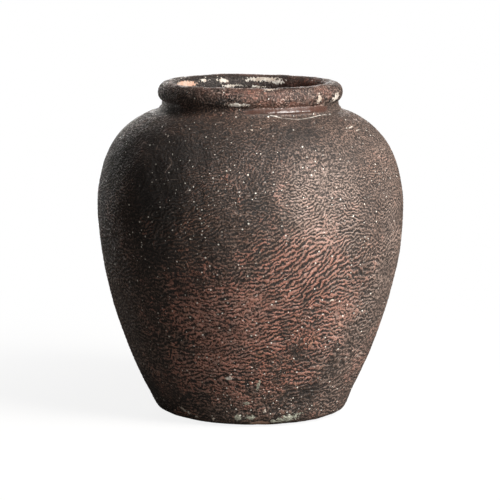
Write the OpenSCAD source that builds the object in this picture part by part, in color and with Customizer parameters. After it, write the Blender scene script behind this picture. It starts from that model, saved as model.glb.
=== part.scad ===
// Round-bellied clay pot with a rolled rim, built up from six pieces of clay.
// Millimetres, +Z up, origin at the centre of the resting face.
// Every wall piece is a turned section. Its outline is a chain of tangent arcs, and
// neighbouring pieces meet on one shared conical bevel, the way clay rings are luted.

/* [Wall outline] */
// Largest outer radius, at the belly
belly_r = 138.7; // [134:0.1:144]
// Radius of the arc just under the belly
under_belly_arc = 262; // [240:1:280]
// Tilt of the wall from vertical where that arc ends
under_belly_tilt = 14; // [13:0.5:15]
// Radius of the long arc down the lower wall
lower_arc = 530; // [500:1:550]
// Tilt of the wall from vertical at the foot
foot_tilt = 27.5; // [26:0.5:28.5]
// Radius of the arc just over the belly
over_belly_arc = 130; // [125:1:135]
// Tilt of the wall from vertical where that arc ends
over_belly_tilt = 20; // [18:0.5:22]
// Radius of the tight arc at the shoulder
shoulder_arc = 66; // [63:1:69]
// Tilt of the wall from vertical where the shoulder arc ends
shoulder_tilt = 44; // [42:0.5:46]
// Radius of the arc over the top of the shoulder
crown_arc = 75; // [72:1:78]

/* [Walls and floor] */
// Thickness of the wall
wall_t = 9; // [7:0.5:10]
// Thickness of the floor
floor_t = 12; // [10:0.5:14]
// Radius of the rounded foot edge
foot_round = 13; // [11:0.5:15]
// Radius of the corner between the floor and the wall, inside
inner_round = 10; // [6:0.5:12]
// How far a bevelled joint runs along the wall on its way through it
bevel_run = 7; // [4:0.5:9]

/* [Neck and rim] */
// Outer radius of the neck, at the groove under the rim
neck_r = 79.6; // [78.5:0.1:80.5]
// Radius of the hollow corner between the shoulder and the neck
neck_round = 4; // [3:0.5:5]
// Width of the collar's foot on the shoulder, outside the hollow corner
collar_lap = 8; // [6:0.5:12]
// Inner radius of the throat
throat_r = 66.5; // [65:0.5:68]
// Radius of the rounded corner under the throat, inside
throat_round = 5; // [3:0.5:6]
// Radius of the clay coil that makes the rim
coil_r = 9.4; // [9:0.1:10]
// Radius of the ring on which the centre of the coil lies
coil_ring_r = 74.2; // [73.5:0.1:75]
// Height of the straight groove between the hollow corner and the coil
groove_h = 4.3; // [3:0.1:5]

/* [Hidden] */
$fn = 160;

// Angles of the outline are elevations seen from the centre of their arc: the belly is at 0,
// the lower wall is negative and the shoulder is positive.
steps = 10;
function on_arc(c, r, a) = c + r * [cos(a), sin(a)];
function arc(c, r, from, to, n = steps) = [for (i = [0:n]) on_arc(c, r, from + (to - from) * i / n)];
// The same, without the first point, for an arc that goes on from the last one.
function arc_on(c, r, from, to, n = steps) = [for (i = [1:n]) on_arc(c, r, from + (to - from) * i / n)];
// Centre of the next arc: it lies on the line through the last centre, so the arcs are tangent.
function next_centre(c, r, a, r_next) = on_arc(c, r - r_next, a);

belly_z = under_belly_arc * sin(under_belly_tilt)
    + lower_arc * (sin(foot_tilt) - sin(under_belly_tilt)) + foot_round * (1 - sin(foot_tilt));
under_c = [belly_r - under_belly_arc, belly_z];
lower_c = next_centre(under_c, under_belly_arc, -under_belly_tilt, lower_arc);
foot_c = next_centre(lower_c, lower_arc, -foot_tilt, foot_round);
over_c = [belly_r - over_belly_arc, belly_z];
shoulder_c = next_centre(over_c, over_belly_arc, over_belly_tilt, shoulder_arc);
crown_c = next_centre(shoulder_c, shoulder_arc, shoulder_tilt, crown_arc);

// The corner between floor and wall touches the floor and the inner face of the lower wall.
corner_z = floor_t + inner_round;
corner_reach = lower_arc - wall_t - inner_round;
corner_tilt = asin((lower_c.y - corner_z) / corner_reach);
corner_c = on_arc(lower_c, corner_reach, -corner_tilt);

// The hollow corner touches the crown arc and the neck, and the coil lies above the groove.
hollow_r = neck_r + neck_round;
hollow_tilt = acos((hollow_r - crown_c.x) / (crown_arc + neck_round));
hollow_c = on_arc(crown_c, crown_arc + neck_round, hollow_tilt);
coil_drop = sqrt(coil_r * coil_r - (neck_r - coil_ring_r) * (neck_r - coil_ring_r));
coil_c = [coil_ring_r, hollow_c.y + groove_h + coil_drop];

// The rounded corner under the throat touches the throat and the inner face of the crown.
throat_c_r = throat_r + throat_round;
throat_reach = crown_arc - wall_t + throat_round;
throat_tilt = acos((throat_c_r - crown_c.x) / throat_reach);
throat_c = on_arc(crown_c, throat_reach, throat_tilt);

// Where the bevelled joints reach the inside of the wall, as angles of the inner arcs.
function run_angle(r) = asin(bevel_run / r);
belly_joint_in = run_angle(under_belly_arc) - under_belly_tilt;
shoulder_joint_in = over_belly_tilt - run_angle(over_belly_arc);
collar_tilt = hollow_tilt - asin(collar_lap / crown_arc);
collar_joint_in = collar_tilt + run_angle(crown_arc);

module turned(outline) {
    rotate_extrude() polygon(outline);
}

module floor_disc() {
    color("#2f2623") turned(concat(
        [[0, 0]],
        arc(foot_c, foot_round, -90, -foot_tilt),
        [[corner_c.x, floor_t], [0, floor_t]]));
}

module lower_wall() {
    color("#44302a") turned(concat(
        arc(lower_c, lower_arc, -foot_tilt, -under_belly_tilt),
        arc(under_c, under_belly_arc - wall_t, belly_joint_in, -under_belly_tilt, 2),
        arc_on(lower_c, lower_arc - wall_t, -under_belly_tilt, -corner_tilt),
        arc_on(corner_c, inner_round, -corner_tilt, -90)));
}

module belly_wall() {
    color("#3a2b27") turned(concat(
        arc(under_c, under_belly_arc, -under_belly_tilt, 0),
        arc_on(over_c, over_belly_arc, 0, over_belly_tilt),
        arc(over_c, over_belly_arc - wall_t, shoulder_joint_in, 0),
        arc_on(under_c, under_belly_arc - wall_t, 0, belly_joint_in)));
}

module shoulder_wall() {
    color("#352a27") turned(concat(
        arc(shoulder_c, shoulder_arc, over_belly_tilt, shoulder_tilt),
        arc_on(crown_c, crown_arc, shoulder_tilt, collar_tilt),
        arc(crown_c, crown_arc - wall_t, collar_joint_in, shoulder_tilt),
        arc_on(shoulder_c, shoulder_arc - wall_t, shoulder_tilt, over_belly_tilt),
        arc_on(over_c, over_belly_arc - wall_t, over_belly_tilt, shoulder_joint_in, 2)));
}

module neck_collar() {
    color("#4a3630") rotate_extrude() difference() {
        polygon(concat(
            arc(crown_c, crown_arc, collar_tilt, hollow_tilt, 2),
            arc_on(hollow_c, neck_round, 180 + hollow_tilt, 180),
            [[neck_r, coil_c.y], [throat_r, coil_c.y]],
            arc(throat_c, throat_round, 180, 180 + throat_tilt),
            arc_on(crown_c, crown_arc - wall_t, throat_tilt, collar_joint_in, 4)));
        translate(coil_c) circle(coil_r);
    }
}

module rim_coil() {
    color("#3b2f2b") rotate_extrude() translate(coil_c) circle(coil_r);
}

floor_disc();
lower_wall();
belly_wall();
shoulder_wall();
neck_collar();
rim_coil();
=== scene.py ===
"""Hand-built clay pot: a wrinkled dark slip, worn through to the red clay under it."""

import math

import bpy
import numpy as np
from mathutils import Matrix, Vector


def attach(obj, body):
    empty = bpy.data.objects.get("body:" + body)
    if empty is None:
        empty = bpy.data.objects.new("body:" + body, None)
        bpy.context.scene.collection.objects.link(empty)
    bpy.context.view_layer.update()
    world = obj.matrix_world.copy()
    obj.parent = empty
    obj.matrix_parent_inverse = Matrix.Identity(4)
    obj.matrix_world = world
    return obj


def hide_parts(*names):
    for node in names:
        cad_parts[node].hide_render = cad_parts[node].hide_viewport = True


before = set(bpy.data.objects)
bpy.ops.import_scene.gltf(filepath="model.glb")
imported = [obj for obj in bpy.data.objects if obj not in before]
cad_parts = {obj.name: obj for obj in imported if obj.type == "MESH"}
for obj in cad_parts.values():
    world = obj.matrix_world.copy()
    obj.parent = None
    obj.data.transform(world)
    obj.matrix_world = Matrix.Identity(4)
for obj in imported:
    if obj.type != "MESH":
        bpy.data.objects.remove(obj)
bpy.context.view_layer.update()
MM = 0.001          # in metres

# ---------------------------------------------------------------- outline of the pot, in mm
# The same chain of tangent arcs as the CAD model. Angles are elevations, in degrees.
BELLY_R = 138.7
UNDER_BELLY_ARC, UNDER_BELLY_TILT = 262.0, 14.0
LOWER_ARC, FOOT_TILT = 530.0, 27.5
OVER_BELLY_ARC, OVER_BELLY_TILT = 130.0, 20.0
SHOULDER_ARC, SHOULDER_TILT = 66.0, 44.0
CROWN_ARC = 75.0
WALL_T, FLOOR_T, FOOT_ROUND, INNER_ROUND = 9.0, 12.0, 13.0, 10.0
BEVEL_RUN, COLLAR_LAP = 7.0, 8.0
NECK_R, NECK_ROUND, THROAT_R, THROAT_ROUND = 79.6, 4.0, 66.5, 5.0
COIL_R, COIL_RING_R, GROOVE_H = 9.4, 74.2, 4.3


def sin_d(a):
    return math.sin(math.radians(a))


def cos_d(a):
    return math.cos(math.radians(a))


def on_arc(c, r, a):
    return (c[0] + r * cos_d(a), c[1] + r * sin_d(a))


BELLY_Z = (UNDER_BELLY_ARC * sin_d(UNDER_BELLY_TILT)
           + LOWER_ARC * (sin_d(FOOT_TILT) - sin_d(UNDER_BELLY_TILT))
           + FOOT_ROUND * (1 - sin_d(FOOT_TILT)))
UNDER_C = (BELLY_R - UNDER_BELLY_ARC, BELLY_Z)
LOWER_C = on_arc(UNDER_C, UNDER_BELLY_ARC - LOWER_ARC, -UNDER_BELLY_TILT)
FOOT_C = on_arc(LOWER_C, LOWER_ARC - FOOT_ROUND, -FOOT_TILT)
OVER_C = (BELLY_R - OVER_BELLY_ARC, BELLY_Z)
SHOULDER_C = on_arc(OVER_C, OVER_BELLY_ARC - SHOULDER_ARC, OVER_BELLY_TILT)
CROWN_C = on_arc(SHOULDER_C, SHOULDER_ARC - CROWN_ARC, SHOULDER_TILT)

corner_reach = LOWER_ARC - WALL_T - INNER_ROUND
CORNER_TILT = math.degrees(math.asin((LOWER_C[1] - FLOOR_T - INNER_ROUND) / corner_reach))
CORNER_C = on_arc(LOWER_C, corner_reach, -CORNER_TILT)

hollow_reach = CROWN_ARC + NECK_ROUND
HOLLOW_TILT = math.degrees(math.acos((NECK_R + NECK_ROUND - CROWN_C[0]) / hollow_reach))
HOLLOW_C = on_arc(CROWN_C, hollow_reach, HOLLOW_TILT)
COIL_FOOT = math.degrees(math.acos((NECK_R - COIL_RING_R) / COIL_R))
COIL_C = (COIL_RING_R, HOLLOW_C[1] + GROOVE_H + COIL_R * sin_d(COIL_FOOT))
COIL_HEEL = math.degrees(math.acos((COIL_RING_R - THROAT_R) / COIL_R))

throat_reach = CROWN_ARC - WALL_T + THROAT_ROUND
THROAT_TILT = math.degrees(math.acos((THROAT_R + THROAT_ROUND - CROWN_C[0]) / throat_reach))
THROAT_C = on_arc(CROWN_C, throat_reach, THROAT_TILT)


def run_angle(r):
    return math.degrees(math.asin(BEVEL_RUN / r))


BELLY_JOINT_IN = run_angle(UNDER_BELLY_ARC) - UNDER_BELLY_TILT
SHOULDER_JOINT_IN = OVER_BELLY_TILT - run_angle(OVER_BELLY_ARC)
COLLAR_TILT = HOLLOW_TILT - math.degrees(math.asin(COLLAR_LAP / CROWN_ARC))
COLLAR_JOINT_IN = COLLAR_TILT + run_angle(CROWN_ARC)

# ---------------------------------------------------------------- rows of the mesh
COLUMNS = 760
FINE = 1.15      # row pitch on the outside, mm
COARSE = 5.0                            # row pitch inside, mm
FLAT_PITCH = 2.5                        # row pitch underneath, on the floor and in its corner, mm
AXIS_GAP = 3                            # radius of the caps at the axis, mm


def arc_rows(c, r, a0, a1, pitch, side=1):
    """Rows along an arc, without its last point: position, outward normal, in mm."""
    n = max(2, round(math.radians(abs(a1 - a0)) * r / pitch))
    angles = [a0 + (a1 - a0) * i / n for i in range(n)]
    return [(*on_arc(c, r, a), side * cos_d(a), side * sin_d(a)) for a in angles]


def line_rows(p, q, normal, pitch):
    n = max(1, round(math.dist(p, q) / pitch))
    return [(p[0] + (q[0] - p[0]) * i / n, p[1] + (q[1] - p[1]) * i / n, *normal) for i in range(n)]


# One run of rows from the middle of the underside, up the outside, over the rim, and down the
# inside to the middle of the floor. The names mark the rows where the clay pieces meet.
rows, mark = [], {}


def run(name, new_rows):
    mark[name] = len(rows)
    rows.extend(new_rows)


run("underside", line_rows((AXIS_GAP, 0), (FOOT_C[0], 0), (0, -1), FLAT_PITCH))
run("foot", arc_rows(FOOT_C, FOOT_ROUND, -90, -FOOT_TILT, FINE))
run("lower", arc_rows(LOWER_C, LOWER_ARC, -FOOT_TILT, -UNDER_BELLY_TILT, FINE))
run("belly", arc_rows(UNDER_C, UNDER_BELLY_ARC, -UNDER_BELLY_TILT, 0, FINE)
    + arc_rows(OVER_C, OVER_BELLY_ARC, 0, OVER_BELLY_TILT, FINE))
run("shoulder", arc_rows(SHOULDER_C, SHOULDER_ARC, OVER_BELLY_TILT, SHOULDER_TILT, FINE)
    + arc_rows(CROWN_C, CROWN_ARC, SHOULDER_TILT, COLLAR_TILT, FINE))
run("collar", arc_rows(CROWN_C, CROWN_ARC, COLLAR_TILT, HOLLOW_TILT, FINE)
    + arc_rows(HOLLOW_C, NECK_ROUND, 180 + HOLLOW_TILT, 180, FINE / 1.3, -1)
    + line_rows((NECK_R, HOLLOW_C[1]), on_arc(COIL_C, COIL_R, -COIL_FOOT), (1, 0), FINE))
run("coil", arc_rows(COIL_C, COIL_R, -COIL_FOOT, 180 + COIL_HEEL, FINE / 1.2))
run("throat", line_rows(on_arc(COIL_C, COIL_R, 180 + COIL_HEEL), (THROAT_R, THROAT_C[1]), (-1, 0), FINE)
    + arc_rows(THROAT_C, THROAT_ROUND, 180, 180 + THROAT_TILT, FINE)
    + arc_rows(CROWN_C, CROWN_ARC - WALL_T, THROAT_TILT, COLLAR_JOINT_IN, FINE, -1))
run("shoulder_in", arc_rows(CROWN_C, CROWN_ARC - WALL_T, COLLAR_JOINT_IN, SHOULDER_TILT, COARSE, -1)
    + arc_rows(SHOULDER_C, SHOULDER_ARC - WALL_T, SHOULDER_TILT, OVER_BELLY_TILT, COARSE, -1)
    + arc_rows(OVER_C, OVER_BELLY_ARC - WALL_T, OVER_BELLY_TILT, SHOULDER_JOINT_IN, COARSE, -1))
run("belly_in", arc_rows(OVER_C, OVER_BELLY_ARC - WALL_T, SHOULDER_JOINT_IN, 0, COARSE, -1)
    + arc_rows(UNDER_C, UNDER_BELLY_ARC - WALL_T, 0, BELLY_JOINT_IN, COARSE, -1))
run("lower_in", arc_rows(UNDER_C, UNDER_BELLY_ARC - WALL_T, BELLY_JOINT_IN, -UNDER_BELLY_TILT, COARSE, -1)
    + arc_rows(LOWER_C, LOWER_ARC - WALL_T, -UNDER_BELLY_TILT, -CORNER_TILT, COARSE, -1)
    + arc_rows(CORNER_C, INNER_ROUND, -CORNER_TILT, -90, FLAT_PITCH, -1))
run("floor_in", line_rows((CORNER_C[0], FLOOR_T), (AXIS_GAP, FLOOR_T), (0, 1), FLAT_PITCH)
    + [(AXIS_GAP, FLOOR_T, 0, 1)])
mark["end"] = len(rows)

outline = np.array(rows)
az = np.arange(COLUMNS) / COLUMNS * 2 * math.pi - math.pi      # 0 faces the viewer, + is right
around, up = np.meshgrid(az, outline[:, 1])                    # azimuth and height of each vertex
radius = np.repeat(outline[:, :1], COLUMNS, 1)
row_no = np.repeat(np.arange(len(rows))[:, None], COLUMNS, 1)


def revolve(r, z):
    return np.stack([r * np.sin(around), -r * np.cos(around), z], 2)


rest = revolve(radius, up)                                     # mm, before any relief
out = revolve(np.repeat(outline[:, 2:3], COLUMNS, 1), np.repeat(outline[:, 3:4], COLUMNS, 1))
outside = (row_no >= mark["foot"]) & (row_no < mark["throat"])
inside = row_no >= mark["throat"]


# ---------------------------------------------------------------- smooth fields over the surface
LEAST_R = 20        # marks near the axis are laid out as if they were at this radius, mm


def smooth(x, low, high):
    t = np.clip((x - low) / (high - low), 0, 1)
    return t * t * (3 - 2 * t)


def sideways(azimuth):
    """Way round the pot from an azimuth in degrees, in mm, to the right or to the left."""
    turn = (around - math.radians(azimuth) + math.pi) % (2 * math.pi) - math.pi
    return turn * np.maximum(radius, LEAST_R)


def between(start, full, ending, over):
    """1 from one azimuth to another, in degrees, with a smooth start and a smooth end."""
    rise_up = smooth(around, math.radians(start), math.radians(full))
    return rise_up * (1 - smooth(around, math.radians(ending), math.radians(over)))


def blob(azimuth, height, half_width, half_height):
    """1 at an azimuth and a height, and falling off smoothly. Half sizes in mm."""
    return np.exp(-(sideways(azimuth) / half_width) ** 2 - ((up - height) / half_height) ** 2)


def waves(seed, size, count=9):
    """A slow random field of about unit swing, made of plane waves through the pot."""
    rng = np.random.default_rng(seed)
    total = np.zeros_like(up)
    for _ in range(count):
        way = rng.normal(size=3)
        way /= np.linalg.norm(way)
        length = size * rng.uniform(0.7, 1.5)
        total += np.sin(rest @ way * 2 * math.pi / length + rng.uniform(0, 6.3))
    return total * math.sqrt(2 / count)


# Where the slip is rubbed through to the red clay: azimuth, height, half width, half height, amount
WORN = [(0, 118, 60, 48, 0.70), (-2, 122, 24, 22, 0.40), (16, 158, 34, 26, 0.62), (32, 120, 40, 46, 0.50),
        (-20, 84, 46, 34, 0.50), (18, 56, 46, 30, 0.34), (-26, 112, 30, 26, 0.42), (40, 92, 34, 30, 0.42),
        (-22, 40, 46, 30, 0.85), (34, 185, 40, 30, 0.30), (27, 48, 12, 10, 0.45), (112, 150, 60, 45, 0.5),
        (165, 100, 60, 40, 0.7), (-120, 170, 50, 40, 0.5), (-150, 70, 50, 30, 0.6), (80, 60, 40, 30, 0.4),
        (-72, 120, 24, 26, 0.2)]
# Where pale dust lies on the slip, and where it paints highlight: the spots at azimuths 24 and 30, about 200
# mm up, are a painted highlight where the key light shines, and the one at -70 paints light on the left edge
DUST_AND_HIGHLIGHT = [(30, 205, 46, 40, 1.0), (66, 180, 46, 80, 0.85), (52, 84, 40, 70, 0.70), (76, 110, 40, 90, 0.60),
         (120, 220, 80, 40, 0.7), (20, 258, 60, 16, 0.2), (-160, 230, 80, 30, 0.6), (90, 250, 60, 24, 0.6),
         (24, 20, 60, 16, 0.45), (160, 60, 90, 50, 0.4), (-22, 200, 40, 40, 0.10), (24, 198, 26, 28, 1.0),
         (10, 262, 90, 10, 0.1), (-70, 90, 34, 80, 0.7)]
# Where the slip is thick and sooty, and where it paints shade: the spots at azimuths -62 to -10, 170 to 235
# mm up, are painted shade where the light falls off on the left
SOOT_AND_SHADE = [(20, 262, 40, 9, 0.5), (-34, 205, 26, 60, 0.45), (-62, 235, 46, 40, 0.75), (-34, 218, 34, 42, 0.7),
         (-10, 205, 24, 34, 0.35), (-12, 100, 16, 20, 0.3), (-8, 250, 60, 18, 0.40), (-24, 132, 18, 18, 0.5),
         (-46, 170, 30, 60, 0.3), (46, 140, 16, 16, 0.4), (28, 30, 30, 14, 0.5), (34, 62, 14, 20, 0.3),
         (-58, 30, 40, 30, 0.3), (-150, 180, 60, 50, 0.4), (110, 110, 40, 30, 0.3)]
# Where white specks are thick
SPECKED = [(-22, 175, 60, 60, 0.8), (-10, 90, 60, 50, 0.7), (30, 100, 50, 60, 0.35), (10, 20, 80, 16, 0.9),
           (150, 150, 90, 90, 0.6), (-110, 120, 50, 70, 0.4)]
# Flow of the wrinkles in broad regions: azimuth, height, half width, half height, lean from upright.
# They run level on the left and round the foot, climb to the right over the front, and steepen upwards.
FLOWS = [(-35, 95, 26, 45, 90), (15, 145, 34, 40, 45), (25, 75, 30, 35, 60), (-25, 185, 30, 35, 30),
         (0, 20, 70, 22, 80)]


def total_of(places):
    return sum(amount * blob(a, z, w, h) for a, z, w, h, amount in places)


worn = np.clip(total_of(WORN) + 0.14 * waves(3, 70) + 0.10 * waves(4, 28), 0, 1.3)
dust_and_highlight = np.clip(total_of(DUST_AND_HIGHLIGHT) + 0.08 * waves(5, 80), 0, 1.2)
soot_and_shade = np.clip(total_of(SOOT_AND_SHADE) + 0.12 * waves(10, 50) + 0.08 * waves(11, 24), 0, 1)
specked = np.clip(total_of(SPECKED) + 0.10 * waves(6, 60), 0, 1)
shoulder_part = smooth(up, 190, 240) * outside
rim_part = ((row_no >= mark["coil"]) & (row_no < mark["throat"])) * 1.0
collar_part = (row_no >= mark["collar"]) & (row_no < mark["coil"])

# Direction across the wrinkles, as a unit vector in the surface. Away from the flows it wanders.
WANDER_PULL = 0.12
pulls = [(blob(a, z, w, h), angle) for a, z, w, h, angle in FLOWS]
wander = 42 - 26 * shoulder_part + 26 * waves(31, 110) + 12 * waves(32, 50)
lean = WANDER_PULL * wander + sum(pull * angle for pull, angle in pulls)
lean = lean / (WANDER_PULL + sum(pull for pull, angle in pulls))
lean = np.radians(lean + 7 * waves(34, 26))
tangent = np.stack([np.cos(around), np.sin(around), np.zeros_like(around)], 2)
upward = np.cross(out, tangent)
upward *= np.sign(upward[..., 2:] + 1e-9)
across = tangent * np.cos(lean)[..., None] - upward * np.sin(lean)[..., None]
# How strong, how straight and how fine the wrinkles are
combed = np.clip(0.50 + 0.5 * blob(22, 150, 55, 42) + 0.14 * blob(0, 90, 80, 50)
                 + 0.15 * shoulder_part + 0.16 * waves(36, 40) + 0.08 * waves(37, 18), 0.15, 1.0)
ordered = np.clip(0.52 + 0.42 * blob(22, 152, 60, 36) - 0.12 * shoulder_part + 0.10 * waves(35, 60),
                  0.1, 0.95)
finer = 1 + 0.45 * smooth(up, 150, 235) * outside - 0.2 * blob(22, 150, 50, 30)

# How deep the wrinkles are: deep up to the belly, shallow on the shoulder, and almost none from the
# collar on and at the very foot
relief = np.where(outside, 1 - 0.62 * shoulder_part, 0.0)
relief = np.where(collar_part, 0.10, relief)
relief = relief * smooth(up, 2, 9)
relief = np.where(rim_part > 0, 0.12, relief)
relief = np.where(inside, 0.10, relief)
pitted = np.where(outside, 0.45 + 0.55 * shoulder_part, 0.35) + 0.35 * rim_part
pitted = np.where(collar_part, 0.15, pitted)
# Inside, the slip ends at a wavy edge by the throat. Below it and underneath, the clay is bare.
slip_end = 262 + 5 * np.sin(3 * around + 1) + 3 * np.sin(8 * around) + 2 * waves(9, 30)
bare = np.where(inside, 1 - smooth(up, slip_end - 2, slip_end + 2), (row_no < mark["foot"]) * 1.0)

# ---- small marks: patches of lime, flakes of grey-green growth, and chips down to the bare clay
travel = np.concatenate([[0], np.cumsum(np.hypot(*np.diff(outline[:, :2], axis=0).T))])
CREST = int(np.argmax(outline[:, 1]))


def along(height, inner_side):
    """Distance along the rows at a height, on the outside or on the inside of the pot."""
    if inner_side:
        return np.interp(-height, -outline[CREST:, 1], travel[CREST:])
    return np.interp(height, outline[:CREST + 1, 1], travel[:CREST + 1])


def patches(places, inner_side=False):
    """1 in the middle of a patch, 0 on its edge, less outside. Half sizes in mm, tilt in degrees."""
    best = np.full_like(up, -2.0)
    for azimuth, height, half_width, half_height, tilt in places:
        x = sideways(azimuth)
        y = travel[:, None] - along(height, inner_side)
        c, s = cos_d(tilt), sin_d(tilt)
        far = np.hypot((x * c + y * s) / half_width, (y * c - x * s) / half_height)
        best = np.maximum(best, 1 - far)
    return best


limed = np.maximum(
    patches([(-10, 48, 3.4, 2.0, 10), (-42, 13, 3.6, 1.1, -35), (-38, 10, 2.4, 1.5, -30),
             (-33, 7, 1.8, 1.2, 0), (8, 16, 1.1, 2.2, 0), (-22, 7, 1.3, 1.8, 0), (75, 3.4, 6.0, 2.4, 20),
             (47, 289, 2.6, 4.2, -15), (66, 288, 7.0, 3.2, 12), (13, 299, 5.0, 1.3, 0),
             (-8, 286, 9.0, 1.6, 0), (1, 266, 1.6, 1.1, 0), (57, 264, 5.0, 0.8, 14), (60, 261, 6.0, 0.7, 8),
             (-40, 259, 1.2, 0.9, 0), (33, 118, 2.0, 1.0, 0), (-102, 180, 2.4, 1.6, 0),
             (130, 120, 3.0, 1.8, 20), (160, 288, 8.0, 3.0, 5), (-130, 290, 6.0, 2.5, 0),
             (170, 30, 4.0, 2.0, 0), (-160, 9, 6.0, 2.0, 10)]),
    patches([(170, 296, 15.0, 2.6, 0), (158, 294, 6.0, 2.0, 0), (-140, 296, 5.0, 1.6, 0),
             (-157, 295, 5.0, 1.8, 0), (-165, 290, 9.0, 1.2, 0), (175, 289, 7.0, 1.2, 0),
             (100, 293, 3.0, 3.0, 0)], True))
mossy = patches([(22, 8, 13.0, 3.4, 14), (4, 42, 1.3, 5.0, -12), (-2, 24, 2.8, 2.0, 0),
                 (-7, 10, 3.6, 3.0, 0), (0, 10, 3.8, 2.6, 0), (14, 6, 4.0, 2.0, 0),
                 (150, 12, 12.0, 4.0, 0), (-100, 14, 9.0, 3.0, 0)])
chipped = np.maximum(
    patches([(6, 3.0, 9.5, 4.2, 0), (-10, 0.8, 34.0, 1.5, 0), (118, 4, 10.0, 3.5, 0),
             (-136, 3, 14.0, 3.0, 0)]),
    patches([(-113, 294, 20.0, 4.4, 0), (104, 294, 9.0, 4.0, 0)], True))
# A line of lime lies along the foot of the collar. line_off is the way from it, in mm.
LINE_HEIGHT = 274.6
FAR_OFF = 9
line_height = LINE_HEIGHT + 0.8 * np.sin(around * 9 + 0.5) + 1.1 * np.sin(around * 4 + 1.9)
line_off = np.clip(travel[:, None] - along(line_height, False), -FAR_OFF, FAR_OFF)
line_on = between(-2, 8, 52, 60)
# Above the line the collar was wiped smooth and bulges a little.
WIPED_HEIGHT, WIPED_HALF_WIDTH, WIPED_BULGE = 279.0, 3.6, 2.6
wiped = between(-12, 8, 48, 66)
wiped = wiped * np.exp(-((travel[:, None] - along(WIPED_HEIGHT, False)) / WIPED_HALF_WIDTH) ** 2)
wiped = np.where(row_no < mark["throat"], wiped, 0)
# The rim is grainy, mostly outside, redder about two places, and darker inside.
rim_outside = rim_part * (1 - smooth(travel[:, None], travel[CREST] + 1, travel[CREST] + 7))
rim_inside = rim_part - rim_outside
grainy = np.clip(0.34 + 0.6 * blob(34, 290, 62, 30) + 0.3 * waves(7, 40), 0, 1)
grainy = (0.2 * rim_part + 0.8 * rim_outside) * grainy
ruddy = rim_outside * np.clip(0.35 * blob(22, 290, 40, 30) + 0.15 * waves(8, 50), 0, 1)
ruddy = np.maximum(ruddy, rim_inside * 0.8 * blob(112, 290, 34, 30))
soot_and_shade = np.maximum(soot_and_shade, rim_inside * 0.9)

# The shape of a hand-built pot: slightly oval, with soft dents and bulges, in mm
CHIP_DEPTH, FLAKE_H = 0.7, 0.25
wobble = (0.5 * np.sin(2 * around + 0.6) * smooth(up, 20, 120) + 0.35 * waves(21, 190, 6)
          + 0.20 * waves(22, 75, 8))
wobble *= np.where(row_no < mark["foot"], 0, 1) * smooth(up, 0, 25) * (1 - 0.55 * smooth(up, 240, 285))
wobble = np.where(inside & (up < FLOOR_T + 1), 0, wobble)
rim_wobble = rim_part * (0.10 * waves(23, 60) + 0.10 * waves(24, 22))
bulge = WIPED_BULGE * wiped ** 2 * (row_no < mark["coil"])
soft_corner = 1.5 * collar_part * np.exp(-((travel[:, None] - along(276.2, False)) / 2.6) ** 2)
spread_foot = 1.2 * smooth(up, 0, 4) * np.exp(-((up - 8) / 9) ** 2)
worn_foot = spread_foot - 1.5 * blob(-72, 6, 70, 13) - 0.8 * blob(140, 5, 50, 9)
foot_part = (row_no >= mark["foot"]) & (row_no < mark["belly"])
shaping = (wobble + rim_wobble + np.where(foot_part, worn_foot, 0) + bulge + soft_corner
           - CHIP_DEPTH * smooth(chipped, -0.1, 0.25)
           + FLAKE_H * smooth(np.maximum(limed, mossy), -0.1, 0.4))


# ---------------------------------------------------------------- node helper
BANDS_IN_CELL = 1.6     # bands across one cell of the noise, where "finer" is 1


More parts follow.
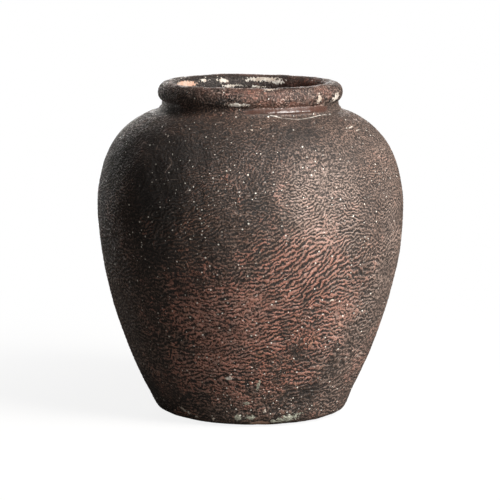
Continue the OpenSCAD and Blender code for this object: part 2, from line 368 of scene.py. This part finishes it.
class Nodes:
    """Builds the same maths in a shader tree or in a geometry tree."""

    def __init__(self, tree):
        self.tree = tree
        self.is_shader = tree.bl_idname == "ShaderNodeTree"

    def add(self, kind, **settings):
        node = self.tree.nodes.new(kind)
        for key, value in settings.items():
            setattr(node, key, value)
        return node

    def put(self, socket, value):
        if isinstance(value, bpy.types.NodeSocket):
            self.tree.links.new(value, socket)
        elif value is not None:
            socket.default_value = value

    def read(self, name, vector=False):
        if self.is_shader:
            node = self.add("ShaderNodeAttribute", attribute_name=name)
            return node.outputs["Vector" if vector else "Fac"]
        node = self.add("GeometryNodeInputNamedAttribute", data_type="FLOAT_VECTOR" if vector else "FLOAT")
        node.inputs["Name"].default_value = name
        return node.outputs["Attribute"]

    def math(self, operation, a, b=None, c=None, clamp=False):
        node = self.add("ShaderNodeMath", operation=operation, use_clamp=clamp)
        for socket, value in zip(node.inputs, (a, b, c)):
            self.put(socket, value)
        return node.outputs[0]

    def add_up(self, *terms):
        total = terms[0]
        for term in terms[1:]:
            total = self.math("ADD", total, term)
        return total

    def times(self, a, b):
        return self.math("MULTIPLY", a, b)

    def scaled(self, vector, factor):
        node = self.add("ShaderNodeVectorMath", operation="SCALE")
        self.put(node.inputs[0], vector)
        self.put(node.inputs["Scale"], factor)
        return node.outputs[0]

    def moved(self, vector, offset):
        node = self.add("ShaderNodeVectorMath", operation="ADD")
        self.put(node.inputs[0], vector)
        self.put(node.inputs[1], offset)
        return node.outputs[0]

    def stirred(self, vector, size, amount):
        """The vector, pushed about by noise of the given size."""
        node = self.add("ShaderNodeTexNoise")
        for name, value in {"Vector": vector, "Scale": 1 / size, "Detail": 1.0}.items():
            self.put(node.inputs[name], value)
        return self.moved(vector, self.scaled(self.moved(node.outputs["Color"], (-0.5,) * 3), amount))

    def ramp(self, value, low, high, to_low=0.0, to_high=1.0, smoothly=True):
        kind = "SMOOTHSTEP" if smoothly else "LINEAR"
        node = self.add("ShaderNodeMapRange", interpolation_type=kind, clamp=True)
        for socket, item in zip(node.inputs, (value, low, high, to_low, to_high)):
            self.put(socket, item)
        return node.outputs[0]

    def noise(self, vector, size, detail=2.0, rough=0.5):
        """Noise whose features are about size across, in the units of vector."""
        node = self.add("ShaderNodeTexNoise")
        settings = {"Vector": vector, "Scale": 1 / size, "Detail": detail, "Roughness": rough}
        for name, value in settings.items():
            self.put(node.inputs[name], value)
        return node.outputs["Fac"]

    def cells(self, vector, size):
        node = self.add("ShaderNodeTexVoronoi", feature="F1")
        self.put(node.inputs["Vector"], vector)
        self.put(node.inputs["Scale"], 1 / size)
        return node

    def bands(self, vector, across, spacing, order):
        """Broken parallel bands: order 0 points them anywhere, 1 straight across."""
        node = self.add("ShaderNodeTexGabor", gabor_type="3D")
        often = self.times(self.read("finer"), BANDS_IN_CELL)
        # The socket left out is the direction that 2D bands have.
        settings = [vector, 1 / (spacing * BANDS_IN_CELL), often, order, None, across]
        for socket, value in zip(node.inputs, settings):
            self.put(socket, value)
        return node

    def blend(self, factor, a, b):
        node = self.add("ShaderNodeMix", data_type="FLOAT")
        self.put(node.inputs[0], factor)
        self.put(node.inputs[2], a)
        self.put(node.inputs[3], b)
        return node.outputs[0]

    def tint(self, factor, a, b):
        """Mix of two colours, each an RGB triple or a socket."""
        node = self.add("ShaderNodeMix", data_type="RGBA")
        self.put(node.inputs[0], factor)
        for socket, colour in ((node.inputs[6], a), (node.inputs[7], b)):
            self.put(socket, (*colour, 1) if isinstance(colour, tuple) else colour)
        return node.outputs[2]


# ---------------------------------------------------------------- relief shared by mesh and colour
WRINKLE_GAP = 3.5   # from one wrinkle to the next, mm
RIDGE_H = 0.38      # height of the wrinkles over the hollows between them, mm
PIT_H = 0.16        # depth of the fine pitting, mm
SWELL_H = 1.1       # height of the slow swells, mm
SKIN_LEVEL = -0.25  # middle of the low relief, mm: a little under the CAD surface


def centred(n, value, gain):
    return n.times(n.math("SUBTRACT", value, 0.5), gain)


def wrinkles(n, pits):
    """The wrinkled skin: 1 on crests and 0 in hollows, and its slope along the field "across"."""
    spot = n.read("rest", True)
    stirred = n.stirred(n.stirred(spot, 11.0, 5.0), 3.6, 2.2)
    bands = n.bands(stirred, n.read("across", True), WRINKLE_GAP, n.read("ordered"))
    angle = n.math("MULTIPLY_ADD", bands.outputs["Phase"], 2 * math.pi, -math.pi)
    strength = n.ramp(bands.outputs["Intensity"], 0.0, 0.14)
    strength = n.times(strength, n.read("combed"))
    level = n.add_up(n.times(n.math("SINE", angle), strength), centred(n, pits, 4.4),
                     n.math("MULTIPLY_ADD", n.read("worn"), 0.34, -0.30))
    crest = n.ramp(level, -0.72, 0.74)
    edge = n.times(crest, n.math("SUBTRACT", 1.0, crest))
    slope = n.times(n.times(n.math("COSINE", angle), strength), edge)
    return crest, slope


def skin(n):
    """Height of the skin without the wrinkles, in mm, then the wrinkles and their slope."""
    spot = n.read("rest", True)
    pits = n.noise(spot, 1.9, 3.0, 0.62)
    crest, slope = wrinkles(n, pits)
    swell = n.noise(spot, 16.0, 2.0)
    low_relief = n.add_up(
        n.times(n.math("SUBTRACT", pits, 0.5), n.times(n.read("pitted"), PIT_H * 4)),
        n.times(n.math("SUBTRACT", swell, 0.5), SWELL_H),
        SKIN_LEVEL)
    return low_relief, crest, slope


def skin_height(n):
    low_relief, crest, _slope = skin(n)
    return n.add_up(n.times(n.times(crest, RIDGE_H), n.read("relief")), low_relief)


# ---------------------------------------------------------------- the displaced surface
def mesh_of(name, points, faces, fields):
    mesh = bpy.data.meshes.new(name)
    mesh.from_pydata([], [], [])
    mesh.vertices.add(len(points))
    mesh.vertices.foreach_set("co", np.ascontiguousarray(points, dtype=np.float32).ravel())
    counts = np.array([len(f) for f in faces], dtype=np.int32)
    mesh.loops.add(int(counts.sum()))
    mesh.loops.foreach_set("vertex_index", np.concatenate(faces).astype(np.int32))
    mesh.polygons.add(len(faces))
    starts = np.concatenate([[0], np.cumsum(counts)[:-1]]).astype(np.int32)
    mesh.polygons.foreach_set("loop_start", starts)
    for key, values in fields.items():
        kind = "FLOAT_VECTOR" if values.ndim == 2 else "FLOAT"
        layer = mesh.attributes.new(key, kind, "POINT")
        layer.data.foreach_set("vector" if values.ndim == 2 else "value",
                               np.ascontiguousarray(values, dtype=np.float32).ravel())
    mesh.update(calc_edges=True)
    return mesh


FIELDS = {"rest": rest, "across": across, "ordered": ordered, "finer": finer, "combed": combed,
          "relief": relief, "pitted": pitted, "worn": worn, "dust_and_highlight": dust_and_highlight, "specked": specked,
          "bare": bare, "limed": limed, "mossy": mossy, "chipped": chipped, "line_off": line_off,
          "line_on": line_on, "wiped": wiped, "grainy": grainy, "ruddy": ruddy, "soot_and_shade": soot_and_shade}


def rise_of_every_vertex():
    """Runs the relief nodes on a mesh of all the vertices and returns their heights in mm."""
    n_points = len(rows) * COLUMNS
    flat = {k: v.reshape(n_points, *v.shape[2:]) for k, v in FIELDS.items()}
    mesh = mesh_of("probe", rest.reshape(-1, 3), [np.array([0, 1, 2])], flat)
    probe = bpy.data.objects.new("probe", mesh)
    bpy.context.scene.collection.objects.link(probe)
    tree = bpy.data.node_groups.new("relief", "GeometryNodeTree")
    tree.interface.new_socket("Geometry", in_out="INPUT", socket_type="NodeSocketGeometry")
    tree.interface.new_socket("Geometry", in_out="OUTPUT", socket_type="NodeSocketGeometry")
    n = Nodes(tree)
    source, sink = n.add("NodeGroupInput"), n.add("NodeGroupOutput")
    store = n.add("GeometryNodeStoreNamedAttribute", data_type="FLOAT", domain="POINT")
    store.inputs["Name"].default_value = "rise"
    n.put(store.inputs["Geometry"], source.outputs[0])
    n.put(store.inputs["Value"], skin_height(n))
    n.put(sink.inputs[0], store.outputs[0])
    probe.modifiers.new("relief", "NODES").node_group = tree
    evaluated = probe.evaluated_get(bpy.context.evaluated_depsgraph_get())
    rise = np.empty(n_points, dtype=np.float32)
    evaluated.data.attributes["rise"].data.foreach_get("value", rise)
    bpy.data.objects.remove(probe)
    bpy.data.meshes.remove(mesh)
    bpy.data.node_groups.remove(tree)
    return rise.reshape(len(rows), COLUMNS)


# The underside may be hollow but never bulges, and nothing reaches below the ground.
rise = rise_of_every_vertex() + shaping
rise[row_no < mark["foot"]] = np.clip(rise[row_no < mark["foot"]], -1, 0)
surface = rest + out * rise[..., None]
surface[..., 2] = np.maximum(surface[..., 2], 0)
along_row = np.roll(surface, -1, 1) - np.roll(surface, 1, 1)
along_col = np.gradient(surface, axis=0)
normals = np.cross(along_row, along_col)
normals /= np.linalg.norm(normals, axis=2, keepdims=True) + 1e-12


# ---------------------------------------------------------------- the six clay pieces
def strip(first, last):
    return list(range(mark[first], mark[last] + 1))


BAKE_STRIPS = 3     # the outside of a ring is laid out in this many strips, the rest in one more
SIDE_GAP = 0.004    # free space beside a strip
UNDER_GAP = 0.02    # free space under a strip, as a share of its height
STRIP_SPAN, TOP_SPAN = 0.96, 0.9    # share of its height that a strip, or the top strip, fills
CAP_SPOT = [0.5, 0.99]              # the caps at the axis share this spot


def grid_piece(name, skin_rows, hidden_after, poles=()):
    """A piece from rows of the surface. Rows in hidden_after are followed by a joint face.

    poles lists the end rows that a cap closes, and whether that cap faces up.
    """
    n_rows = len(skin_rows)
    index = np.arange(n_rows * COLUMNS).reshape(n_rows, COLUMNS)
    picked = np.array(skin_rows)
    points = surface[picked].reshape(-1, 3) * MM
    fields = {k: v[picked].reshape(-1, *v.shape[2:]) for k, v in FIELDS.items()}
    faces, uvs, loop_normals = [], [], []
    normal_of = normals[picked]
    pairs = [(i, (i + 1) % n_rows) for i in range(n_rows - 1 if poles else n_rows)]
    steps = np.linalg.norm(np.diff(rest[picked][:, 0], axis=0), axis=1)
    reach = np.concatenate([[0], np.cumsum(steps), [0]])
    is_out = picked < mark["throat"]
    split = int(is_out.sum())
    column = np.arange(COLUMNS)
    after = (column + 1) % COLUMNS
    for i, j in pairs:
        quad = np.stack([index[i, column], index[i, after], index[j, after], index[j, column]], 1)
        faces.append(quad)
        joint = i in hidden_after
        uvs.append(bake_places(i, j, joint, is_out, reach, split, n_rows))
        corner = [normal_of[i, column], normal_of[i, after], normal_of[j, after], normal_of[j, column]]
        block = np.stack(corner, 1)
        loop_normals.append(np.zeros_like(block) if joint else block)
    quads = np.concatenate(faces)
    uv = np.concatenate(uvs).reshape(-1, 2)
    loop_normal = np.concatenate(loop_normals).reshape(-1, 3)
    caps = []
    for end, up_side in poles:
        ring = index[end]
        caps.append(ring if up_side else ring[::-1])
    all_faces = list(quads) + caps
    if caps:
        flat = [np.tile(CAP_SPOT, (COLUMNS, 1)) for _ in caps]
        uv = np.concatenate([uv, *flat])
        loop_normal = np.concatenate([loop_normal, *[np.zeros((COLUMNS, 3)) for _ in caps]])
    mesh = mesh_of(name, points, all_faces, fields)
    mesh.shade_smooth()
    layer = mesh.uv_layers.new(name="OFBake")
    layer.data.foreach_set("uv", uv.astype(np.float32).ravel())
    mesh.normals_split_custom_set(loop_normal.tolist())
    piece = bpy.data.objects.new(name, mesh)
    bpy.context.scene.collection.objects.link(piece)
    return piece


def bake_places(i, j, joint, is_out, reach, split, n_rows):
    """UV corners of one ring of faces: outside in stacked strips, the rest in the top strip."""
    column = np.arange(COLUMNS)
    height = 1 / (BAKE_STRIPS + 1)
    if is_out[i] and not joint and split > 1:
        share = COLUMNS / BAKE_STRIPS
        band = np.minimum((column / share).astype(int), BAKE_STRIPS - 1)
        u0 = (column - band * share) / share
        u1 = u0 + 1 / share
        whole = reach[split - 1]
        v0, v1 = reach[i] / whole, reach[min(j, split - 1)] / whole
        base = band * height
        span = STRIP_SPAN
    else:
        u0, u1 = column / COLUMNS, (column + 1) / COLUMNS
        v0, v1 = i / n_rows, (i + 1) / n_rows
        base = np.full(COLUMNS, BAKE_STRIPS * height)
        span = TOP_SPAN
    width = 1 - 2 * SIDE_GAP
    u0, u1 = SIDE_GAP + width * np.clip(u0, 0, 1), SIDE_GAP + width * np.clip(u1, 0, 1)
    low, high = base + height * (UNDER_GAP + span * v0), base + height * (UNDER_GAP + span * v1)
    return np.stack([np.stack([u0, low], 1), np.stack([u1, low], 1),
                     np.stack([u1, high], 1), np.stack([u0, high], 1)], 1)


def ring_piece(name, outer, inner_part):
    outer_rows, inner_rows = strip(*outer), strip(*inner_part)
    joints = {len(outer_rows) - 1, len(outer_rows) + len(inner_rows) - 1}
    return grid_piece(name, outer_rows + inner_rows, joints)


pieces = {
    "lower_wall": ring_piece("lower_wall_skin", ("lower", "belly"), ("lower_in", "floor_in")),
    "belly_wall": ring_piece("belly_wall_skin", ("belly", "shoulder"), ("belly_in", "lower_in")),
    "shoulder_wall": ring_piece("shoulder_wall_skin", ("shoulder", "collar"), ("shoulder_in", "belly_in")),
    "neck_collar": ring_piece("neck_collar_skin", ("collar", "coil"), ("throat", "shoulder_in")),
    "rim_coil": grid_piece("rim_coil_skin", strip("coil", "throat"), {mark["throat"] - mark["coil"]}),
    "floor_disc": grid_piece("floor_disc_skin",
                             strip("underside", "lower") + list(range(mark["floor_in"], mark["end"])),
                             {mark["lower"]}, poles=((0, False), (-1, True))),
}


# ---------------------------------------------------------------- material
SLIP_HOLLOW = (0.0050, 0.0036, 0.0031)
SLIP_CREST = (0.112, 0.064, 0.045)
CLAY_RED = (0.350, 0.132, 0.090)
CLAY_DEEP = (0.150, 0.060, 0.044)
CLAY_BRIGHT = (0.36, 0.165, 0.100)
# pale dust, also the colour of the painted highlight, the painted glints and pale scratches
DUST_AND_GLINT = (0.37, 0.280, 0.238)
LIME = (0.68, 0.65, 0.59)
CREAM = (0.47, 0.39, 0.32)
MOSS = (0.36, 0.37, 0.30)
CHIP = (0.46, 0.265, 0.190)
WIPED = (0.070, 0.036, 0.028)
GRAIN = (0.44, 0.335, 0.285)
BARE_CLAY = (0.40, 0.20, 0.13)
BARE_DARK = (0.23, 0.115, 0.080)
CREST_MID = 0.45    # tone that crests and hollows are pulled towards where the skin is smooth
TILT_GAIN = 6.5     # how steeply the shading shows the wrinkles: about 4 would be as steep as the mesh
GRAIN_H = 0.65      # height of the grain in the shading, mm


def clay_material():
    material = bpy.data.materials.new("slipped_clay")
    material.use_nodes = True
    tree = material.node_tree
    tree.nodes.clear()
    n = Nodes(tree)
    spot = n.read("rest", True)
    low_relief, crest, slope = skin(n)
    blotch = n.noise(spot, 24.0, 3.0)
    mottle = n.noise(spot, 7.0, 3.0, 0.6)
    grain = n.noise(spot, 1.1, 2.0, 0.6)

    # Slip, dark in the hollows; the wrinkles show less where the skin is smooth.
    depth = n.ramp(n.read("relief"), 0.0, 0.9, 0.70, 1.0)
    tone = n.math("ADD", n.times(n.math("SUBTRACT", crest, CREST_MID), depth), CREST_MID)
    tone = n.math("ADD", tone, centred(n, grain, 2.4), clamp=True)
    # 1 where there is neither soot nor painted shade; it darkens the slip, the red clay, the dust and the
    # glints
    clean_and_lit = n.math("MULTIPLY_ADD", n.read("soot_and_shade"), -0.88, 1.0)
    pale = n.times(n.times(tone, n.ramp(blotch, 0.36, 0.62, 0.6, 1.0)), clean_and_lit)
    colour = n.tint(pale, SLIP_HOLLOW, SLIP_CREST)

    # Red clay where the wrinkles are worn through
    rub = n.add_up(n.times(n.read("worn"), 1.05), centred(n, blotch, 1.0), centred(n, mottle, 1.9),
                   n.times(tone, 0.45), -0.54)
    rubbed = n.times(n.times(n.ramp(rub, -0.05, 0.75), n.ramp(tone, 0.15, 1.10)), clean_and_lit)
    red = n.tint(n.ramp(mottle, 0.35, 0.62), CLAY_DEEP, CLAY_RED)
    red = n.tint(n.ramp(n.noise(spot, 12.0, 2.0), 0.60, 0.74), red, CLAY_BRIGHT)
    colour = n.tint(rubbed, colour, red)

    # Dust lies on the wrinkles more than between them; where the dust field paints highlight, this film is a
    # painted highlight.
    thickness = n.add_up(0.02, n.times(tone, 0.52), centred(n, mottle, 0.35))
    dust_and_highlight_film = n.times(n.times(n.read("dust_and_highlight"), clean_and_lit), thickness)
    colour = n.tint(n.math("MAXIMUM", dust_and_highlight_film, 0.0), colour, DUST_AND_GLINT)

    # Painted glints: the tops of single grains are painted pale, as bright highlights.
    tops = n.add_up(tone, centred(n, grain, 1.0), n.times(n.read("worn"), 0.2))
    painted_glints = n.ramp(tops, 0.95, 1.35, 0.0, 0.45)
    colour = n.tint(n.times(painted_glints, clean_and_lit), colour, DUST_AND_GLINT)

    # Collar wiped smooth
    smear = n.times(n.ramp(n.read("wiped"), 0.15, 0.6), n.ramp(mottle, 0.30, 0.55, 0.45, 0.95))
    colour = n.tint(smear, colour, WIPED)

    # Dark pits, red clay and pale grains in the rim
    pits_of_rim = n.noise(n.moved(spot, (7, 3, 9)), 1.5, 3.0, 0.65)
    pitting = n.times(n.read("grainy"), 2.0)
    dark_pits = n.math("MULTIPLY", n.ramp(pits_of_rim, 0.55, 0.40), pitting, clamp=True)
    colour = n.tint(dark_pits, colour, SLIP_HOLLOW)
    grains = n.ramp(pits_of_rim, 0.54, 0.66)
    ruddy = n.times(n.read("ruddy"), n.ramp(mottle, 0.35, 0.60, 0.15, 0.85))
    colour = n.tint(ruddy, colour, n.tint(n.ramp(pits_of_rim, 0.35, 0.60), SLIP_CREST, CLAY_RED))
    colour = n.tint(n.times(grains, n.times(n.read("grainy"), 0.9)), colour, GRAIN)

    # Hairline scratches and runs, pale
    hairs = n.math("ABSOLUTE", n.math("SUBTRACT", n.noise(n.moved(spot, (70, 20, 5)), 34.0, 1.0), 0.5))
    picked = n.ramp(n.noise(n.moved(spot, (15, 60, 30)), 11.0, 2.0), 0.50, 0.60)
    more = n.math("MULTIPLY_ADD", n.read("dust_and_highlight"), 0.55, 0.25)
    hair = n.times(n.ramp(hairs, 0.0, 0.006, 1.0, 0.0), n.times(picked, more))
    colour = n.tint(hair, colour, DUST_AND_GLINT)

    # Specks of lime
    speck = n.cells(n.moved(spot, (5, 9, 2)), 3.6)
    chance = n.add("ShaderNodeSeparateColor")
    n.put(chance.inputs[0], speck.outputs["Color"])
    size = n.math("MULTIPLY_ADD", n.math("POWER", chance.outputs[1], 3.0), 0.12, 0.08)
    near = n.ramp(n.math("SUBTRACT", speck.outputs["Distance"], size), 0.0, 0.05, 1.0, 0.0)
    chosen = n.ramp(n.add_up(chance.outputs[0], n.times(n.read("specked"), 0.5)), 0.71, 0.75)
    specks = n.times(near, chosen)

    # Bare clay, inside and underneath
    bare_tone = n.tint(n.ramp(mottle, 0.3, 0.7), BARE_CLAY, BARE_DARK)
    colour = n.tint(n.read("bare"), colour, bare_tone)

    # Chips, flakes and patches with ragged edges
    ragged = centred(n, n.noise(n.moved(spot, (1, 8, 4)), 2.2, 3.0, 0.7), 3.8)
    crumbs = n.ramp(n.add_up(n.read("limed"), ragged), 0.0, 0.12)
    moss = n.ramp(n.add_up(n.read("mossy"), ragged), 0.0, 0.15)
    chips = n.ramp(n.math("MULTIPLY_ADD", ragged, 0.35, n.read("chipped")), 0.0, 0.10)
    off = n.math("ABSOLUTE", n.math("MULTIPLY_ADD", ragged, 0.3, n.read("line_off")))
    broken = n.times(n.read("line_on"), n.ramp(mottle, 0.40, 0.55, 0.15, 0.8))
    line = n.times(n.ramp(off, 0.3, 0.7, 1.0, 0.0), broken)
    colour = n.tint(chips, colour, n.tint(n.ramp(mottle, 0.35, 0.75), CHIP, CREAM))
    colour = n.tint(n.times(moss, 0.8), colour, MOSS)
    colour = n.tint(n.times(crumbs, 0.85), colour, n.tint(n.ramp(mottle, 0.35, 0.65), CREAM, LIME))
    colour = n.tint(n.math("MAXIMUM", specks, n.times(line, 0.8)), colour, LIME)
    loose = n.math("MAXIMUM", n.math("MAXIMUM", moss, chips), crumbs)

    shader = n.add("ShaderNodeBsdfPrincipled")
    n.put(shader.inputs["Base Color"], colour)
    shader.inputs["Specular IOR Level"].default_value = 0.5
    shine = n.add_up(tone, centred(n, mottle, 0.8), n.times(n.read("wiped"), 0.5))
    rough = n.ramp(n.add_up(shine, n.times(n.read("grainy"), 0.3)), 0.1, 1.2, 0.76, 0.28)
    rough = n.blend(n.times(n.read("wiped"), 0.9), rough, 0.22)
    n.put(shader.inputs["Roughness"], n.blend(loose, rough, 0.85))

    # The wrinkles tilt the surface along "across"; the finer relief is bump.
    steepest = -RIDGE_H * 2 * math.pi / WRINKLE_GAP * TILT_GAIN
    steep = n.times(n.times(slope, n.read("relief")), steepest)
    tilt = n.add("ShaderNodeVectorTransform", vector_type="VECTOR", convert_from="OBJECT",
                 convert_to="WORLD")
    n.put(tilt.inputs[0], n.scaled(n.read("across", True), steep))
    turned = n.add("ShaderNodeVectorMath", operation="NORMALIZE")
    n.put(turned.inputs[0], n.moved(n.add("ShaderNodeNewGeometry").outputs["Normal"], tilt.outputs[0]))
    bump = n.add("ShaderNodeBump")
    bump.inputs["Strength"].default_value = 1.0
    bump.inputs["Distance"].default_value = MM
    rasp = n.math("MULTIPLY_ADD", n.read("wiped"), -0.55, GRAIN_H)
    n.put(bump.inputs["Height"], n.add_up(n.times(low_relief, 1.3), centred(n, grain, rasp)))
    n.put(bump.inputs["Normal"], turned.outputs[0])
    n.put(shader.inputs["Normal"], bump.outputs[0])
    sink = n.add("ShaderNodeOutputMaterial")
    n.put(sink.inputs[0], shader.outputs[0])
    return material


clay = clay_material()
for node, piece in pieces.items():
    piece.data.materials.append(clay)
    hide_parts(node)
    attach(piece, "root")


# ---------------------------------------------------------------- studio, in metres
CAMERA_AT, CAMERA_AIM = (0, -2.45, 0.512), (-0.0003, 0, 0.146)
POT_MIDDLE = (0, 0, 0.15)
LIGHT_COLOUR = (1.0, 0.965, 0.925)
FLOOR_LIT, FLOOR_SEEN = (0.16, 0.15, 0.14), (0.82, 0.82, 0.82)
FILL = 0.022        # strength of the white that surrounds the pot
# Name, azimuth, elevation, distance, width, height, power
SOFTBOXES = [("key_box", 52, 33, 1.9, 0.8, 1.4, 88), ("top_box", 0, 80, 1.6, 1.2, 1.2, 2),
             ("edge_box", -140, 2, 1.9, 0.35, 1.0, 5), ("front_box", 8, 4, 2.2, 0.8, 0.8, 12),
             ("back_box", 186, 10, 1.9, 1.2, 1.0, 26)]


def look_at(thing, target):
    way = Vector(target) - thing.location
    thing.rotation_euler = way.to_track_quat("-Z", "Y").to_euler()


def add_camera():
    data = bpy.data.cameras.new("camera")
    data.sensor_width = 36
    data.lens = 196.3
    data.clip_start, data.clip_end = 0.05, 50
    camera = bpy.data.objects.new("camera", data)
    bpy.context.scene.collection.objects.link(camera)
    camera.location = CAMERA_AT
    look_at(camera, CAMERA_AIM)
    bpy.context.scene.camera = camera


def add_softbox(name, azimuth, elevation, distance, width, height, power):
    """A rectangular light that faces the pot. Angles in degrees, power in watts."""
    data = bpy.data.lights.new(name, "AREA")
    data.shape, data.size, data.size_y = "RECTANGLE", width, height
    data.energy = power
    data.color = LIGHT_COLOUR
    light = bpy.data.objects.new(name, data)
    bpy.context.scene.collection.objects.link(light)
    flat = distance * cos_d(elevation)
    way = Vector((flat * sin_d(azimuth), -flat * cos_d(azimuth), distance * sin_d(elevation)))
    light.location = Vector(POT_MIDDLE) + way
    look_at(light, POT_MIDDLE)


def add_floor():
    """A round floor, pale to the camera and dark to the pot, that goes over to plain white."""
    reach, sides = 1.6, 96
    ring = [(reach * cos_d(i * 360 / sides), reach * sin_d(i * 360 / sides), 0) for i in range(sides)]
    mesh = bpy.data.meshes.new("floor")
    mesh.from_pydata(ring, [], [tuple(range(sides))])
    floor = bpy.data.objects.new("floor", mesh)
    bpy.context.scene.collection.objects.link(floor)
    material = bpy.data.materials.new("pale_floor")
    material.use_nodes = True
    tree = material.node_tree
    tree.nodes.clear()
    n = Nodes(tree)
    spot = n.add("ShaderNodeTexCoord").outputs["Object"]
    far = n.add("ShaderNodeVectorMath", operation="LENGTH")
    n.put(far.inputs[0], spot)
    paper = n.add("ShaderNodeBsdfDiffuse")
    glow = n.add("ShaderNodeEmission")
    glow.inputs["Strength"].default_value = 1.0
    mix = n.add("ShaderNodeMixShader")
    seen = n.add("ShaderNodeLightPath").outputs["Is Camera Ray"]
    n.put(paper.inputs["Color"], n.tint(seen, FLOOR_LIT, FLOOR_SEEN))
    n.put(mix.inputs[0], n.times(n.ramp(far.outputs["Value"], 0.10, 0.70, 0.86, 1.0), seen))
    n.put(mix.inputs[1], paper.outputs[0])
    n.put(mix.inputs[2], glow.outputs[0])
    n.put(n.add("ShaderNodeOutputMaterial").inputs[0], mix.outputs[0])
    mesh.materials.append(material)


def add_world():
    """White to the camera, and a weaker white fill on the pot."""
    world = bpy.data.worlds.new("studio")
    bpy.context.scene.world = world
    world.use_nodes = True
    tree = world.node_tree
    tree.nodes.clear()
    n = Nodes(tree)
    path = n.add("ShaderNodeLightPath")
    back = n.add("ShaderNodeBackground")
    n.put(back.inputs["Strength"], n.ramp(path.outputs["Is Camera Ray"], 0, 1, FILL, 1.0, smoothly=False))
    back.inputs["Color"].default_value = (1, 1, 1, 1)
    n.put(n.add("ShaderNodeOutputWorld").inputs[0], back.outputs[0])


add_camera()
for box in SOFTBOXES:
    add_softbox(*box)
add_floor()
add_world()
bpy.context.scene.view_settings.view_transform = "Standard"
